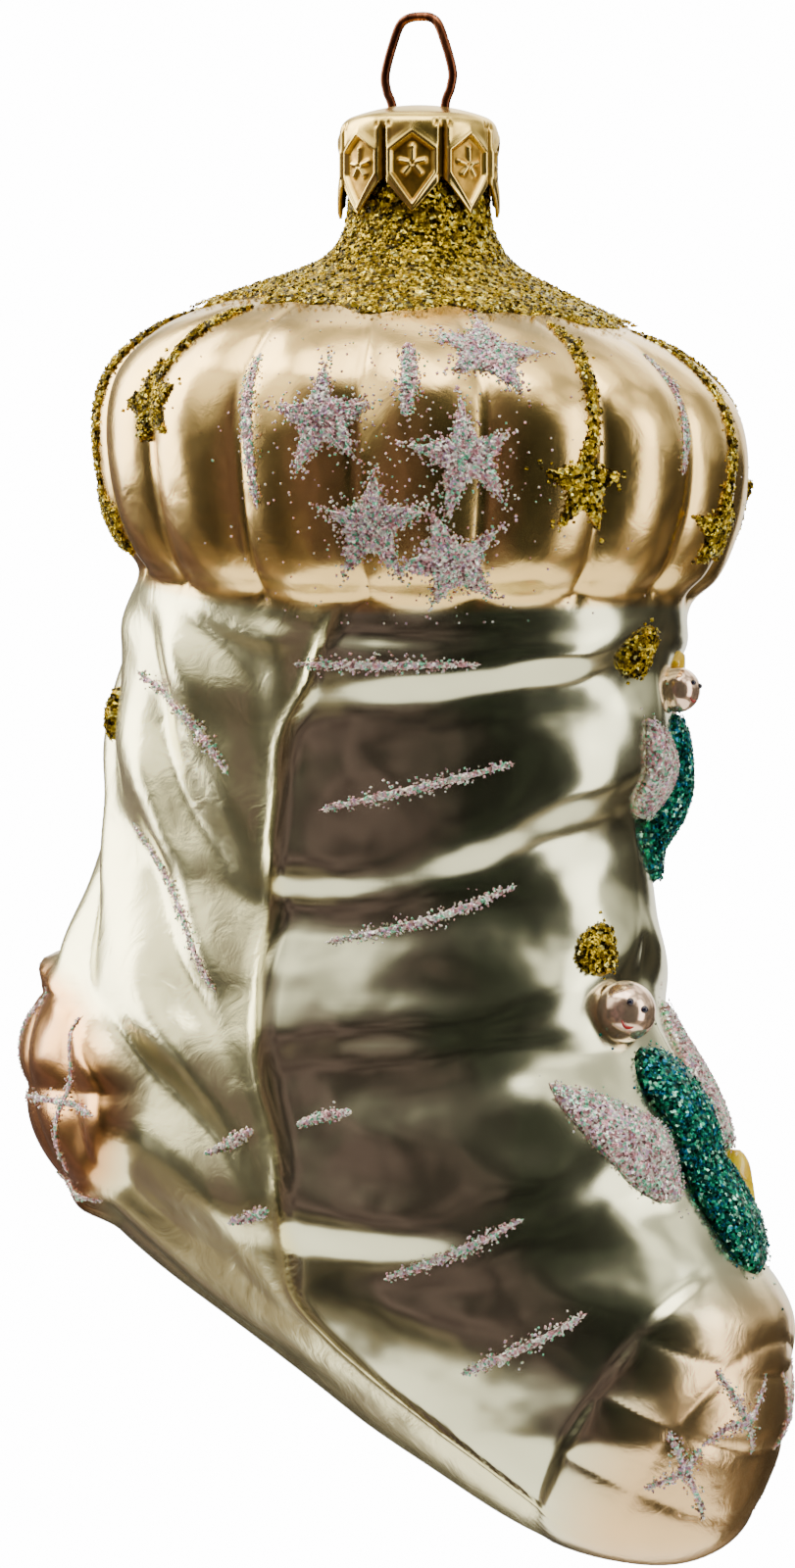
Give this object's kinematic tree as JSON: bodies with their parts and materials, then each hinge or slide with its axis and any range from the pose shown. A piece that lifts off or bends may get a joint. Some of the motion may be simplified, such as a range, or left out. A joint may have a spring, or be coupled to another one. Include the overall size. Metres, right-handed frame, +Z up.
{
  "type": "glass stocking ornament",
  "caption": "Hanging Christmas stocking of blown silvered glass with glitter stars and angels, a petalled metal cap and a spring wire hanging loop.",
  "frame": {"origin": "top of the inside of the wire loop, where a hook carries the ornament", "axes": "+Z up, +X to the stocking's toe and the angels, -Y to the side with the white stars that the picture shows; the loop lies in the XZ plane"},
  "size_m": [0.0748, 0.0524, 0.1372],
  "materials": {
    "silvered_glass": "thin blown glass, silvered inside and lacquered in champagne, silver, cream and peach",
    "gold_cap": "stamped, gold coloured, with dark recesses",
    "hanger_wire": "dark copper coloured spring wire",
    "gold_glitter": "loose gold glitter in glue",
    "white_glitter": "fine iridescent white glitter in glue",
    "teal_glitter": "teal glitter in glue"
  },
  "bodies": {
    "hanger": {"spring_hanger": "hanger_wire"},
    "cap": {"crown_cap": "gold_cap"},
    "glass": {"glass_stocking": "silvered_glass", "neck_glitter_collar": "gold_glitter", "gold_star_1": "gold_glitter", "gold_star_2": "gold_glitter", "gold_star_3": "gold_glitter", "gold_star_4": "gold_glitter", "gold_star_5": "gold_glitter", "gold_star_6": "gold_glitter", "gold_star_7": "gold_glitter", "white_star_near_1": "white_glitter", "white_star_near_2": "white_glitter", "white_star_near_3": "white_glitter", "white_star_near_4": "white_glitter", "white_star_near_5": "white_glitter", "cuff_stripe_near_1": "white_glitter", "cuff_stripe_near_2": "white_glitter", "cuff_stripe_near_3": "white_glitter", "leg_stripe_near_1": "white_glitter", "leg_stripe_near_2": "white_glitter", "leg_stripe_near_3": "white_glitter", "leg_stripe_near_4": "white_glitter", "leg_stripe_near_5": "white_glitter", "leg_stripe_near_6": "white_glitter", "leg_stripe_near_7": "white_glitter", "leg_stripe_near_8": "white_glitter", "leg_stripe_near_9": "white_glitter", "leg_stripe_near_10": "white_glitter", "white_star_far_1": "white_glitter", "white_star_far_2": "white_glitter", "white_star_far_3": "white_glitter", "white_star_far_4": "white_glitter", "cuff_stripe_far_1": "white_glitter", "cuff_stripe_far_2": "white_glitter", "leg_stripe_far_1": "white_glitter", "leg_stripe_far_2": "white_glitter", "leg_stripe_far_3": "white_glitter", "leg_stripe_far_4": "white_glitter", "leg_stripe_far_5": "white_glitter", "leg_stripe_far_6": "white_glitter", "leg_stripe_far_7": "white_glitter", "leg_stripe_far_8": "white_glitter", "leg_stripe_far_9": "white_glitter", "leg_stripe_far_10": "white_glitter", "gold_drop_1": "gold_glitter", "gold_drop_2": "gold_glitter", "gold_drop_3": "gold_glitter", "gold_drop_4": "gold_glitter", "lower_angel_dress": "teal_glitter", "lower_angel_near_wing": "white_glitter", "lower_angel_far_wing": "white_glitter", "upper_angel_dress": "teal_glitter", "upper_angel_near_wing": "white_glitter", "upper_angel_far_wing": "white_glitter"}
  },
  "joints": [
    {"name": "hanger_rock", "type": "hinge", "parent": "hanger", "child": "cap", "pos_m": [0, 0, -0.0079], "axis": [1, 0, 0], "range_deg": [-5, 5]},
    {"name": "cap_release", "type": "slide", "parent": "cap", "child": "glass", "axis": [0, 0, -1], "range_m": [0, 0.03]}
  ]
}
